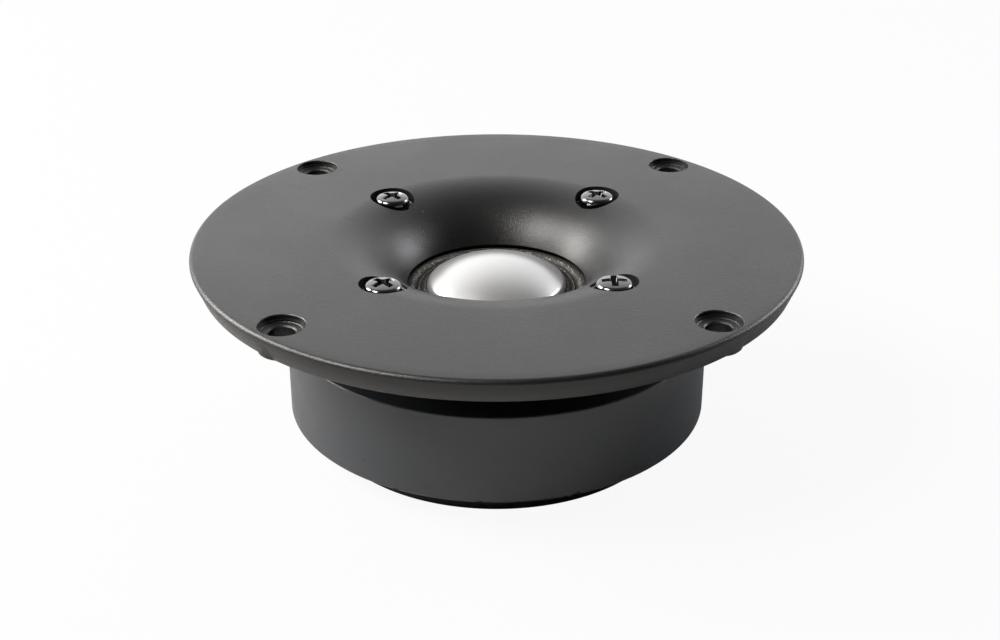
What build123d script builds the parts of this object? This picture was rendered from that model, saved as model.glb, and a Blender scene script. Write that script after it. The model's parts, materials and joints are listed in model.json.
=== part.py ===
"""Flange-mounted dome tweeter: 25 mm metal dome, round faceplate, ferrite ring motor.

Units are millimetres and +Z points out of the front.  The origin is on the tweeter's axis, in
the plane of the four boss ends, which is the plane that seats on the panel.  The terminals are
on the +Y side.  Every function makes one sub-part, or one group of identical ones.
"""
from build123d import *
import os
from math import atan2, cos, pi, radians, sin, sqrt

# ---- faceplate ----
TOP_Z = 4.3                 # front surface, above the seating plane
FLANGE_R = 52.0             # largest radius of the rim
RIM_FOOT_R = 50.7           # the rim tapers in towards the back
RIM_FOOT_Z = 0.15
RIM_WALL = 1.9
RIM_ROUND = 0.8             # rounding of the front edge
WEB_Z = 1.7                 # underside of the flange web
COLLAR_R = 30.5             # rear collar that lands on the top plate
THROAT_R = 15.5
THROAT_Z = -4.05
LIP_Z = -4.3                # underside of the throat lip
RELIEF_R = 16.9             # relief behind the lip, clear of the surround's roll
HORN_ROUND = 15.1           # radius of the waveguide's convex wall
RIB_COUNT = 8
RIB_WIDTH = 1.4
RIB_FOOT_Z = 0.4

# ---- mounting holes ----
MOUNT_PCD = 94.5
MOUNT_COUNT = 4
MOUNT_HOLE_R = 2.1
SEAT_R = 3.73               # outer step of the screw seat
SEAT_STEP_R = 3.35          # inner step of the screw seat
SEAT_DEPTH = 0.7
SEAT_STEP_DEPTH = 1.15
BOSS_R = 3.85

# ---- assembly screws: M3.5 x 12 pan head, cross recess ----
SCREW_PCD = 52.7
SCREW_COUNT = 4
POCKET_R = 3.98
POCKET_FLOOR_Z = 2.1
SCREW_HEAD_R = 3.08
SCREW_HEAD_H = 2.45
SCREW_HEAD_ROUND = 0.95     # rounding of the head's upper edge
SCREW_R = 1.75
SCREW_LENGTH = 12.0
SCREW_CLEAR_R = 1.95
SCREW_TAP_R = 1.78
RECESS_WIDTH = 1.05
RECESS_SPAN = 4.0
RECESS_DEPTH = 1.6

# ---- motor ----
PLATE_R = 31.0
PLATE_TOP_Z = -6.8
MAGNET_TOP_Z = -10.5
MAGNET_FOOT_Z = -26.4
BACK_Z = -31.4
MAGNET_R = 36.6
MAGNET_BORE_R = 16.0
MAGNET_CHAMFER = 0.5        # along the lower edges
MAGNET_TOP_CHAMFER = 0.2
POLE_R = 12.2
POLE_SPIGOT_R = 9.5
GAP_R = 13.5                # bore of the top plate
PLATE_CHAMFER = 0.6

# ---- moving parts ----
DOME_R = 12.13              # visible edge of the dome
DOME_Z = -5.05              # height of that edge
DOME_RISE = 4.98
DOME_SHOULDER_R = 1.8       # rounding between the crown and that edge
DOME_THICK = 0.15
FORMER_R = 12.6             # inner radius of the voice coil former
FORMER_WALL = 0.15
FORMER_LENGTH = 5.4
COIL_THICK = 0.3
COIL_TOP_Z = -7.6
COIL_LENGTH = 2.4

# ---- soft parts and their carrier ----
CARRIER_R = 21.0
CARRIER_BORE_R = 16.5
CARRIER_TOP_Z = -5.5
SURROUND_THICK = 0.25
SURROUND_BORE_R = 12.86
SURROUND_RIM_R = 20.6
ROLL_BORE_R = 14.0          # inner edge of the half roll
ROLL_R = 16.3               # outer edge of the half roll
ROLL_RISE = 0.55
PAD_R = 10.5
PAD_THICK = 1.5

# ---- leads and terminals, all on the +Y side ----
LEAD_D = 0.3
LEAD_X = 4.5                # half the distance between the two leads
LEAD_Z = -5.9               # height of their straight run
SLEEVE_D = 0.9
CHANNEL_WIDTH = 1.3
CHANNEL_TOP_Z = -5.35
BOARD_WIDTH = 24.0
BOARD_Y0 = 32.2
BOARD_Y1 = 42.0
BOARD_Z0 = -4.7
BOARD_THICK = 1.6
POST_X = 9.4
POST_Y = 36.0
POST_R = 2.3
TERMINAL_X = 4.5
TERMINAL_Y0 = 33.8
TERMINAL_Y1 = 48.4
TERMINAL_THICK = 0.8
WIDE_TAB = 4.8
NARROW_TAB = 2.8
RIVET_Y = 37.6
RIVET_R = 1.1
RIVET_HEAD_R = 1.7


def revolved(points):
    """Turn a closed half section, given as (radius, height) points, about the Z axis."""
    section = Polyline(*[(r, 0, z) for r, z in points], close=True)
    return revolve(make_face(section), axis=Axis.Z)


def tube(outer_r, inner_r, low_z, high_z):
    """Plain ring between two heights."""
    ring = cylinder(outer_r, low_z, high_z)
    return ring - cylinder(inner_r, low_z - 1, high_z + 1)


def cylinder(radius, low_z, high_z, x=0.0, y=0.0):
    """Upright cylinder between two heights."""
    body = Cylinder(radius, high_z - low_z, align=(Align.CENTER, Align.CENTER, Align.MIN))
    return Pos(x, y, low_z) * body


def block(x0, x1, y0, y1, z0, z1):
    """Box between two corners."""
    body = Box(x1 - x0, y1 - y0, z1 - z0, align=(Align.MIN, Align.MIN, Align.MIN))
    return Pos(x0, y0, z0) * body


def on_circle(pcd, count):
    """Centres of a bolt circle whose first hole is at 45 degrees."""
    angles = [radians(45 + 360 / count * i) for i in range(count)]
    return [(pcd / 2 * cos(a), pcd / 2 * sin(a)) for a in angles]


def faceplate_section():
    """Half section of the faceplate, before any hole is cut."""
    drop = TOP_Z - THROAT_Z
    mouth_r = THROAT_R + sqrt(HORN_ROUND ** 2 - (HORN_ROUND - drop) ** 2)
    centre_r = mouth_r
    centre_z = TOP_Z - HORN_ROUND
    # middle of the waveguide arc, on the line halfway between its two ends' angles
    middle_r = (mouth_r + THROAT_R) / 2 - centre_r
    middle_z = (TOP_Z + THROAT_Z) / 2 - centre_z
    reach = HORN_ROUND / sqrt(middle_r ** 2 + middle_z ** 2)
    middle = (centre_r + middle_r * reach, 0, centre_z + middle_z * reach)
    corner = RIM_ROUND * (1 - sqrt(0.5))
    round_mid = (FLANGE_R - corner, 0, TOP_Z - corner)
    line = [(THROAT_R, THROAT_Z), (THROAT_R, LIP_Z), (RELIEF_R, LIP_Z),
            (RELIEF_R, CARRIER_TOP_Z + SURROUND_THICK),
            (CARRIER_R + 0.1, CARRIER_TOP_Z + SURROUND_THICK), (CARRIER_R + 0.1, PLATE_TOP_Z),
            (COLLAR_R, PLATE_TOP_Z), (COLLAR_R, WEB_Z),
            (RIM_FOOT_R - RIM_WALL, WEB_Z), (RIM_FOOT_R - RIM_WALL, RIM_FOOT_Z),
            (RIM_FOOT_R, RIM_FOOT_Z), (FLANGE_R, TOP_Z - RIM_ROUND)]
    horn = ThreePointArc((mouth_r, 0, TOP_Z), middle, (THROAT_R, 0, THROAT_Z))
    walls = Polyline(*[(r, 0, z) for r, z in line])
    edge = ThreePointArc((FLANGE_R, 0, TOP_Z - RIM_ROUND), round_mid, (FLANGE_R - RIM_ROUND, 0, TOP_Z))
    front = Line((FLANGE_R - RIM_ROUND, 0, TOP_Z), (mouth_r, 0, TOP_Z))
    return make_face([*horn.edges(), *walls.edges(), *edge.edges(), *front.edges()])


def faceplate():
    """Round flange with waveguide, rear collar, ribs, screw bosses and terminal posts."""
    plate = revolve(faceplate_section(), axis=Axis.Z)
    rib = block(COLLAR_R - 1, RIM_FOOT_R - 1, -RIB_WIDTH / 2, RIB_WIDTH / 2, RIB_FOOT_Z, WEB_Z + 0.5)
    for i in range(RIB_COUNT):
        plate += Rot(0, 0, 360 / RIB_COUNT * (i + 0.5)) * rib
    for x, y in on_circle(MOUNT_PCD, MOUNT_COUNT):
        plate += cylinder(BOSS_R, 0, WEB_Z + 0.5, x, y)
    for x in (-POST_X, POST_X):
        plate += cylinder(POST_R, BOARD_Z0 + BOARD_THICK, WEB_Z + 0.5, x, POST_Y)
    for x, y in on_circle(MOUNT_PCD, MOUNT_COUNT):
        plate -= cylinder(SEAT_R, TOP_Z - SEAT_DEPTH, TOP_Z + 1, x, y)
        plate -= cylinder(SEAT_STEP_R, TOP_Z - SEAT_STEP_DEPTH, TOP_Z + 1, x, y)
        plate -= cylinder(MOUNT_HOLE_R, -1, TOP_Z + 1, x, y)
    for x, y in on_circle(SCREW_PCD, SCREW_COUNT):
        plate -= cylinder(POCKET_R, POCKET_FLOOR_Z, TOP_Z + 1, x, y)
        plate -= cylinder(SCREW_CLEAR_R, PLATE_TOP_Z - 1, TOP_Z, x, y)
    for x in (-POST_X, POST_X):
        plate -= cylinder(0.85, BOARD_Z0, WEB_Z - 1, x, POST_Y)
    for x in (-LEAD_X, LEAD_X):
        half = CHANNEL_WIDTH / 2
        plate -= block(x - half, x + half, CARRIER_R - 1, COLLAR_R + 1, PLATE_TOP_Z - 1, CHANNEL_TOP_Z)
    return plate


def assembly_screws():
    """Four M3.5 pan-head screws that clamp the faceplate to the top plate."""
    head = cylinder(SCREW_HEAD_R, 0, SCREW_HEAD_H)
    head = fillet(head.edges().sort_by(Axis.Z)[-1], SCREW_HEAD_ROUND)
    for turn in (0, 90):
        slot = Box(RECESS_SPAN, RECESS_WIDTH, RECESS_DEPTH, align=(Align.CENTER, Align.CENTER, Align.MIN))
        head -= Rot(0, 0, turn) * Pos(0, 0, SCREW_HEAD_H - RECESS_DEPTH) * slot
    tip = 0.4
    shank = cylinder(SCREW_R, -SCREW_LENGTH, 0.2)
    shank = chamfer(shank.edges().sort_by(Axis.Z)[0], tip)
    screw = head + shank
    turns = (45, 45, 45, 0)
    placed = [Pos(x, y, POCKET_FLOOR_Z) * Rot(0, 0, turn) * screw
              for (x, y), turn in zip(on_circle(SCREW_PCD, SCREW_COUNT), turns)]
    return Compound(placed)


def dome_diaphragm():
    """Shallow crown with a rounded shoulder and a narrow flange that sits on the voice coil former."""
    shoulder_x = DOME_R - DOME_SHOULDER_R
    crown_r = (shoulder_x ** 2 + DOME_RISE ** 2 - DOME_SHOULDER_R ** 2) / (2 * (DOME_RISE - DOME_SHOULDER_R))
    top_z = DOME_Z + DOME_RISE
    centre_z = top_z - crown_r
    start = atan2(DOME_Z - centre_z, shoulder_x)

    def on_crown(radius, angle):
        return (radius * cos(angle), 0, centre_z + radius * sin(angle))

    def on_shoulder(radius, angle):
        return (shoulder_x + radius * cos(angle), 0, DOME_Z + radius * sin(angle))

    half = (start + pi / 2) / 2
    inner_crown_r = crown_r - DOME_THICK
    inner_shoulder_r = DOME_SHOULDER_R - DOME_THICK
    flange_r = FORMER_R + FORMER_WALL
    low = DOME_Z - DOME_THICK
    edges = [
        ThreePointArc((0, 0, top_z), on_crown(crown_r, half), on_crown(crown_r, start)),
        ThreePointArc(on_crown(crown_r, start), on_shoulder(DOME_SHOULDER_R, start / 2), (DOME_R, 0, DOME_Z)),
        Polyline((DOME_R, 0, DOME_Z), (flange_r, 0, DOME_Z), (flange_r, 0, low), (DOME_R - DOME_THICK, 0, low),
                 (DOME_R - DOME_THICK, 0, DOME_Z)),
        ThreePointArc((DOME_R - DOME_THICK, 0, DOME_Z), on_shoulder(inner_shoulder_r, start / 2),
                      on_crown(inner_crown_r, start)),
        ThreePointArc(on_crown(inner_crown_r, start), on_crown(inner_crown_r, half), (0, 0, top_z - DOME_THICK)),
        Line((0, 0, top_z - DOME_THICK), (0, 0, top_z)),
    ]
    section = make_face([edge for run in edges for edge in run.edges()])
    return revolve(section, axis=Axis.Z)


def voice_coil_former():
    """Thin tube that carries the winding into the gap."""
    top_z = DOME_Z - DOME_THICK
    return tube(FORMER_R + FORMER_WALL, FORMER_R, top_z - FORMER_LENGTH, top_z)


def voice_coil_winding():
    """Two layers of fine wire, as one ring."""
    inner_r = FORMER_R + FORMER_WALL
    return tube(inner_r + COIL_THICK, inner_r, COIL_TOP_Z - COIL_LENGTH, COIL_TOP_Z)


def surround():
    """Half roll between the dome's edge and a flat rim that is glued to the carrier."""
    low = CARRIER_TOP_Z
    high = low + SURROUND_THICK
    middle = (ROLL_BORE_R + ROLL_R) / 2
    inner_low = ROLL_BORE_R + SURROUND_THICK
    outer_low = ROLL_R - SURROUND_THICK
    outer_arc = ThreePointArc((ROLL_BORE_R, 0, high), (middle, 0, high + ROLL_RISE), (ROLL_R, 0, high))
    inner_arc = ThreePointArc((outer_low, 0, low), (middle, 0, low + ROLL_RISE), (inner_low, 0, low))
    rim = Polyline((ROLL_R, 0, high), (SURROUND_RIM_R, 0, high), (SURROUND_RIM_R, 0, low),
                   (outer_low, 0, low))
    lip = Polyline((inner_low, 0, low), (SURROUND_BORE_R, 0, low), (SURROUND_BORE_R, 0, high),
                   (ROLL_BORE_R, 0, high))
    section = make_face([*outer_arc.edges(), *rim.edges(), *inner_arc.edges(), *lip.edges()])
    return revolve(section, axis=Axis.Z)


def surround_carrier():
    """Moulded ring that holds the surround's rim, with two notches for the leads."""
    ring = tube(CARRIER_R, CARRIER_BORE_R, PLATE_TOP_Z, CARRIER_TOP_Z)
    half = CHANNEL_WIDTH / 2
    for x in (-LEAD_X, LEAD_X):
        ring -= block(x - half, x + half, 10, CARRIER_R + 1, LEAD_Z - 0.6, CARRIER_TOP_Z + 1)
    return ring


def lead_route(side):
    """Points of one lead: up the former, out through the carrier, down to its terminal."""
    x = side * LEAD_X
    foot_r = FORMER_R + FORMER_WALL + 0.25
    foot_y = sqrt(foot_r ** 2 - LEAD_X ** 2)
    return [(x, foot_y, COIL_TOP_Z + 0.05), (x, foot_y, LEAD_Z), (x, RIVET_Y - 3.4, LEAD_Z)]


def lead_wire(side):
    """Fine lead of one side, a tube along straight runs and one tangent arc."""
    points = lead_route(side)
    path = FilletPolyline(*points, radius=[1.0])
    profile = Plane(origin=path @ 0, z_dir=path % 0) * Circle(LEAD_D / 2)
    return sweep(profile, path=path)


def lead_sleeves():
    """Two insulating sleeves over the leads where they cross the top plate."""
    sleeves = []
    for x in (-LEAD_X, LEAD_X):
        sleeve = Cylinder(SLEEVE_D / 2, 10.0, rotation=(90, 0, 0))
        sleeve -= Cylinder(LEAD_D / 2 + 0.03, 12.0, rotation=(90, 0, 0))
        sleeves.append(Pos(x, COLLAR_R - 3.2, LEAD_Z) * sleeve)
    return Compound(sleeves)


def top_plate():
    """Steel washer that forms the outer wall of the magnetic gap."""
    plate = tube(PLATE_R, GAP_R, MAGNET_TOP_Z, PLATE_TOP_Z)
    for x, y in on_circle(SCREW_PCD, SCREW_COUNT):
        plate -= cylinder(SCREW_TAP_R, MAGNET_TOP_Z - 1, PLATE_TOP_Z + 1, x, y)
    return plate


def magnet_ring():
    """Ferrite ring with broken edges."""
    c = MAGNET_CHAMFER
    t = MAGNET_TOP_CHAMFER
    top = MAGNET_TOP_Z
    foot = MAGNET_FOOT_Z
    return revolved([(MAGNET_BORE_R + t, top), (MAGNET_R - t, top), (MAGNET_R, top - t),
                     (MAGNET_R, foot + c), (MAGNET_R - c, foot), (MAGNET_BORE_R + c, foot),
                     (MAGNET_BORE_R, foot + c), (MAGNET_BORE_R, top - t)])


def back_plate():
    """Steel disc under the magnet, bored for the pole's spigot."""
    c = PLATE_CHAMFER
    return revolved([(POLE_SPIGOT_R, MAGNET_FOOT_Z), (PLATE_R, MAGNET_FOOT_Z), (PLATE_R, BACK_Z + c),
                     (PLATE_R - c, BACK_Z), (POLE_SPIGOT_R, BACK_Z)])


def pole_piece():
    """Steel centre pole with a spigot pressed into the back plate."""
    c = 0.4
    return revolved([(0, BACK_Z), (POLE_SPIGOT_R, BACK_Z), (POLE_SPIGOT_R, MAGNET_FOOT_Z),
                     (POLE_R, MAGNET_FOOT_Z), (POLE_R, PLATE_TOP_Z - c), (POLE_R - c, PLATE_TOP_Z),
                     (0, PLATE_TOP_Z)])


def pole_damping_pad():
    """Felt disc glued to the end of the pole, under the dome."""
    return cylinder(PAD_R, PLATE_TOP_Z, PLATE_TOP_Z + PAD_THICK)


def terminal_board():
    """Laminate strip under the flange that carries both blade terminals."""
    board = block(-BOARD_WIDTH / 2, BOARD_WIDTH / 2, BOARD_Y0, BOARD_Y1, BOARD_Z0, BOARD_Z0 + BOARD_THICK)
    board = chamfer(board.edges().filter_by(Axis.Z), 1.2)
    for x in (-POST_X, POST_X):
        board -= cylinder(1.2, BOARD_Z0 - 1, BOARD_Z0 + BOARD_THICK + 1, x, POST_Y)
    for x in (-TERMINAL_X, TERMINAL_X):
        board -= cylinder(RIVET_R, BOARD_Z0 - 1, BOARD_Z0 + BOARD_THICK + 1, x, RIVET_Y)
    return board


def terminal(x, width):
    """Flat blade: a riveted foot under the board and a tapered tip past its edge."""
    foot_width = 4.8
    foot = block(x - foot_width / 2, x + foot_width / 2, TERMINAL_Y0, BOARD_Y1,
                 BOARD_Z0 - TERMINAL_THICK, BOARD_Z0)
    blade = block(x - width / 2, x + width / 2, BOARD_Y1 - 1, TERMINAL_Y1,
                  BOARD_Z0 - TERMINAL_THICK, BOARD_Z0)
    blade = chamfer(blade.edges().filter_by(Axis.Z).group_by(Axis.Y)[-1], 0.8)
    body = foot + blade
    body -= cylinder(RIVET_R, BOARD_Z0 - 2, BOARD_Z0 + 1, x, RIVET_Y)
    body -= cylinder(0.7, BOARD_Z0 - 2, BOARD_Z0 + 1, x, TERMINAL_Y1 - 3.2)
    return body


def terminal_rivets():
    """Two tubular rivets that hold the blades to the board."""
    low = BOARD_Z0 - TERMINAL_THICK
    high = BOARD_Z0 + BOARD_THICK
    head = 0.4
    one = cylinder(RIVET_R, low, high)
    one += cylinder(RIVET_HEAD_R, low - head, low)
    one += cylinder(RIVET_HEAD_R, high, high + head)
    one -= cylinder(0.6, low - 1, high + 1)
    return Compound([Pos(x, RIVET_Y, 0) * one for x in (-TERMINAL_X, TERMINAL_X)])


def board_screws():
    """Two self-tapping screws that hold the board to the faceplate's posts."""
    head = cylinder(1.9, BOARD_Z0 - 1.3, BOARD_Z0)
    head = fillet(head.edges().sort_by(Axis.Z)[0], 0.6)
    for turn in (0, 90):
        slot = Box(2.2, 0.45, 0.7, align=(Align.CENTER, Align.CENTER, Align.MIN))
        head -= Rot(0, 0, turn) * Pos(0, 0, BOARD_Z0 - 1.3) * slot
    shank = cylinder(0.85, BOARD_Z0 - 0.2, BOARD_Z0 + 4.8)
    one = head + shank
    return Compound([Pos(x, POST_Y, 0) * one for x in (-POST_X, POST_X)])


def solder_joints():
    """Two low domes of solder over the ends of the leads."""
    low = BOARD_Z0 - TERMINAL_THICK
    joints = []
    for side in (-1, 1):
        end = lead_route(side)[-1]
        drop = Pos(end[0], end[1] + 0.2, low) * Sphere(0.9)
        drop &= block(end[0] - 1, end[0] + 1, end[1] - 1, end[1] + 2, low - 1, low)
        joints.append(drop - lead_wire(side))
    return Compound(joints)


PARTS = {
    "faceplate": faceplate,
    "assembly_screws": assembly_screws,
    "dome_diaphragm": dome_diaphragm,
    "surround": surround,
    "surround_carrier": surround_carrier,
    "voice_coil_former": voice_coil_former,
    "voice_coil_winding": voice_coil_winding,
    "pole_damping_pad": pole_damping_pad,
    "pole_piece": pole_piece,
    "top_plate": top_plate,
    "magnet_ring": magnet_ring,
    "back_plate": back_plate,
    "lead_wire_positive": lambda: lead_wire(-1),
    "lead_wire_negative": lambda: lead_wire(1),
    "lead_sleeves": lead_sleeves,
    "terminal_board": terminal_board,
    "terminal_positive": lambda: terminal(-TERMINAL_X, WIDE_TAB),
    "terminal_negative": lambda: terminal(TERMINAL_X, NARROW_TAB),
    "terminal_rivets": terminal_rivets,
    "board_screws": board_screws,
    "solder_joints": solder_joints,
}

os.makedirs("parts", exist_ok=True)
for name, make in PARTS.items():
    export_step(make(), f"parts/{name}.step")
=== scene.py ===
"""Dome tweeter: the visible pieces and finishes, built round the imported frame.

Lengths in this script are millimetres; MM turns them into the scene's metres.
The tweeter looks up along +Z, and its terminals are on the +Y side.
"""
import json
import math
import bpy
from mathutils import Matrix, Vector
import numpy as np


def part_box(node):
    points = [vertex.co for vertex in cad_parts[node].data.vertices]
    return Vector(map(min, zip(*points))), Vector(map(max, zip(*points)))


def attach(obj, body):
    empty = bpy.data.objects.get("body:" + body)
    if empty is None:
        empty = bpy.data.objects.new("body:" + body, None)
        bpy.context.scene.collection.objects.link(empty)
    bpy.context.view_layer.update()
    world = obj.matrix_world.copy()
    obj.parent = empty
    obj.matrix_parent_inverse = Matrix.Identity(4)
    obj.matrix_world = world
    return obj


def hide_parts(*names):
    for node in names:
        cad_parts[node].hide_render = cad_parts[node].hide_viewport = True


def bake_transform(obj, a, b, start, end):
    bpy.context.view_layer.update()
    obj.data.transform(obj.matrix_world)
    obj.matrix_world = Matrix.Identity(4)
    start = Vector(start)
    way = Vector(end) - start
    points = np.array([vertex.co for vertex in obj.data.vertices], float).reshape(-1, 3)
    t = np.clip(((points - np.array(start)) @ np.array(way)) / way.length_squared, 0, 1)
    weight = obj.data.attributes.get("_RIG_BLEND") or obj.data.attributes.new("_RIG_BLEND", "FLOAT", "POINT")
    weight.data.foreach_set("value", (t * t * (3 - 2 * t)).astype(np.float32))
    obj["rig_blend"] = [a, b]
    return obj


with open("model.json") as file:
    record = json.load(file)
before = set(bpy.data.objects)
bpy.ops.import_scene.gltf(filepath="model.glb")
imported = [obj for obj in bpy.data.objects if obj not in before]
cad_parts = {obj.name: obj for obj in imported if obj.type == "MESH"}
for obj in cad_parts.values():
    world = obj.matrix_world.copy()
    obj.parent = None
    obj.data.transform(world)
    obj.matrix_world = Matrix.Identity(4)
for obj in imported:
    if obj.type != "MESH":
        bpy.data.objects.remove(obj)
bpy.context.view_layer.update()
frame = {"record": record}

MM = 0.001
FULL_TURN = 2 * math.pi


def disc(node):
    """Outer radius, lowest and highest level of a round CAD node, in millimetres."""
    low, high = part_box(node)
    return (high.x - low.x) / 2 / MM, low.z / MM, high.z / MM


FLANGE_R, COLLAR_Z, TOP_Z = disc("faceplate")
MAGNET_R, MAGNET_Z0, MAGNET_Z1 = disc("magnet_ring")
PLATE_R, PLATE_Z0, PLATE_Z1 = disc("top_plate")
BACK_R, BACK_Z0, BACK_Z1 = disc("back_plate")
DOME_FLANGE_R, DOME_Z0, DOME_Z1 = disc("dome_diaphragm")
RIM_R, RIM_Z0, ROLL_Z1 = disc("surround")
BOARD_Z0, BOARD_Z1 = (corner.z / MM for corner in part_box("terminal_board"))
CARRIER_Z1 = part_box("surround_carrier")[1].z / MM
FORMER_Z0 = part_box("voice_coil_former")[0].z / MM
COIL_Z0, COIL_Z1 = (corner.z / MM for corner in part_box("voice_coil_winding"))
PAD_Z1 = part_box("pole_damping_pad")[1].z / MM

# ---- faceplate ----
RIM_FOOT_R = 50.7
RIM_FOOT_Z = TOP_Z - 4.15
RIM_WALL = 1.9
RIM_ROUND = 0.8
WEB_Z = TOP_Z - 2.6
COLLAR_R = 30.5
THROAT_R = 15.5
THROAT_Z = TOP_Z - 8.35
LIP_Z = THROAT_Z - 0.25
RELIEF_R = 16.9
CARRIER_R = 21.0
CARRIER_BORE_R = 16.5
NOTCH_HALF = 0.65            # half the width of the slots that the leads pass through
HORN_ROUND = 15.1
RIB_COUNT = 8
RIB_WIDTH = 1.4
RIB_FOOT_Z = TOP_Z - 3.9
BOSS_R = 3.85
PILOT_R = 0.85               # hole up the middle of a boss or post

# ---- mounting holes and assembly screws ----
MOUNT_R = 94.5 / 2
MOUNT_HOLE_R = 2.1
SEAT_R = 3.73
SEAT_STEP_R = 3.35
SEAT_DEPTH = 0.7
SEAT_STEP_DEPTH = 1.15
SCREW_RING_R = 52.7 / 2
POCKET_R = 3.98
POCKET_FLOOR_Z = TOP_Z - 2.2
SCREW_CLEAR_R = 1.95
SCREW_R = 1.75
HEAD_R = 3.06
HEAD_H = 2.45
SCREW_LENGTH = 12.0

# ---- motor, under the dome ----
MAGNET_BORE_R = 16.0
PAD_R = 10.5
POLE_R = 12.2
SPIGOT_R = 9.5
GAP_R = 13.5
FORMER_R = 12.6
FORMER_WALL = 0.15
FORMER_OUT_R = FORMER_R + FORMER_WALL

# ---- dome and surround ----
DOME_R = 12.13
DOME_RISE = 4.98
DOME_SHOULDER_R = 1.8
ROLL_R0 = 14.0
ROLL_R1 = 16.3

# ---- terminal side ----
LEAD_X = 4.5
LEAD_Z = CARRIER_Z1 - 0.4
STRAND_R = 0.078
STRAND_OFF = 0.07            # a strand's distance from the middle of its lead
SLEEVE_Y = COLLAR_R - 3.2
BOARD_HALF = 12.0
BOARD_Y0 = 32.2
BOARD_Y1 = 42.0
TIP_Y = 48.4
BLADE = 0.8
BLADE_Z0 = BOARD_Z0 - BLADE
BOARD_THICK = BOARD_Z1 - BOARD_Z0
RIVET_Y = 37.6
RIVET_R = 1.1
SOLDER_Y = RIVET_Y - 3.2
POST_X = 9.4
POST_Y = 36.0
POST_R = 2.3


# ------------------------------------------------------------------ modelling

def nothing_selected():
    """Leave edit mode and select nothing."""
    if bpy.context.mode != "OBJECT":
        bpy.ops.object.mode_set(mode="OBJECT")
    bpy.ops.object.select_all(action="DESELECT")


def take(piece):
    """Make one piece the only selected and the active one."""
    nothing_selected()
    piece.select_set(True)
    bpy.context.view_layer.objects.active = piece


def named(name):
    """Name the active object and its mesh."""
    piece = bpy.context.active_object
    piece.name = name
    piece.data.name = name
    return piece


def settle(piece):
    """Put a piece's place into its mesh."""
    take(piece)
    bpy.ops.object.transform_apply(location=True, rotation=True, scale=True)
    return piece


def arc(centre_r, centre_z, radius, start, stop, count):
    """Points on an arc of a half section; angles in degrees, 0 along +r, 90 along +z."""
    points = []
    for i in range(count + 1):
        a = math.radians(start + (stop - start) * i / count)
        points.append((centre_r + radius * math.cos(a), centre_z + radius * math.sin(a)))
    return points


def draw_chain(name, points):
    """Start a piece as a chain of edges through (x, y, z) points, and stay in edit mode with all selected."""
    nothing_selected()
    bpy.ops.mesh.primitive_plane_add(size=MM, location=(0, 0, 0))
    piece = named(name)
    bpy.ops.object.mode_set(mode="EDIT")
    bpy.ops.mesh.select_mode(type="VERT")
    bpy.ops.mesh.select_all(action="SELECT")
    bpy.ops.mesh.merge(type="CENTER")
    bpy.ops.transform.translate(value=tuple(u * MM for u in points[0]))
    for before, after in zip(points, points[1:]):
        step = tuple((v - u) * MM for u, v in zip(before, after))
        bpy.ops.mesh.extrude_region_move(TRANSFORM_OT_translate={"value": step})
    bpy.ops.mesh.select_all(action="SELECT")
    return piece


def lathe(name, outline, steps=192):
    """Draw a half section point by point, spin it about the Z axis and weld it."""
    piece = draw_chain(name, [(r, 0, z) for r, z in outline])
    bpy.ops.mesh.spin(steps=steps, angle=FULL_TURN, center=(0, 0, 0), axis=(0, 0, 1))
    weld()
    bpy.ops.object.mode_set(mode="OBJECT")
    return piece


def weld():
    """Merge doubled points and turn the faces outwards, in edit mode."""
    bpy.ops.mesh.select_all(action="SELECT")
    bpy.ops.mesh.remove_doubles(threshold=0.002 * MM)
    bpy.ops.mesh.normals_make_consistent(inside=False)


def ring(name, outline, steps=192):
    """A lathed piece whose half section is a closed loop."""
    return lathe(name, outline + [outline[0]], steps)


def drill(name, radius, low, high, steps=32):
    """A round cutter that runs 1 mm past two levels."""
    return lathe(name, [(0, high + 1), (radius, high + 1), (radius, low - 1), (0, low - 1)], steps)


def brick(name, x0, x1, y0, y1, z0, z1):
    """A block between two corners."""
    nothing_selected()
    middle = ((x0 + x1) / 2 * MM, (y0 + y1) / 2 * MM, (z0 + z1) / 2 * MM)
    bpy.ops.mesh.primitive_cube_add(size=1, location=middle)
    piece = named(name)
    bpy.ops.transform.resize(value=((x1 - x0) * MM, (y1 - y0) * MM, (z1 - z0) * MM))
    return settle(piece)


def copies(piece, places):
    """Copy a piece to each (x, y, turn) place, and join the copies."""
    made = []
    for x, y, turn in places:
        take(piece)
        bpy.ops.object.duplicate(linked=False)
        copy = bpy.context.active_object
        copy.location = (x * MM, y * MM, 0)
        copy.rotation_euler = (0, 0, math.radians(turn))
        made.append(settle(copy))
    name = piece.name
    bpy.data.objects.remove(piece)
    return joined(name, made)


def joined(name, pieces):
    """Join pieces into the first of them."""
    take(pieces[0])
    for piece in pieces[1:]:
        piece.select_set(True)
    if len(pieces) > 1:
        bpy.ops.object.join()
    return named(name)


def combine(piece, tool, operation):
    """Cut a tool away from a piece, or add it, and delete the tool."""
    step = piece.modifiers.new(operation, "BOOLEAN")
    step.operation = operation
    step.solver = "EXACT"
    step.object = tool
    apply_steps(piece)
    bpy.data.objects.remove(tool)
    return piece


def apply_steps(piece):
    """Apply every modifier of a piece, in order."""
    take(piece)
    for step in list(piece.modifiers):
        bpy.ops.object.modifier_apply(modifier=step.name)
    return piece


def soften(piece, width, segments=2, angle=30):
    """Round off the sharp edges of a piece."""
    step = piece.modifiers.new("soften", "BEVEL")
    step.width = width * MM
    step.segments = segments
    step.limit_method = "ANGLE"
    step.angle_limit = math.radians(angle)
    step.harden_normals = False
    return apply_steps(piece)


def smooth(piece, angle=30):
    """Smooth shading that keeps the real edges."""
    take(piece)
    bpy.ops.object.shade_smooth_by_angle(angle=math.radians(angle))
    return piece


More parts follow.
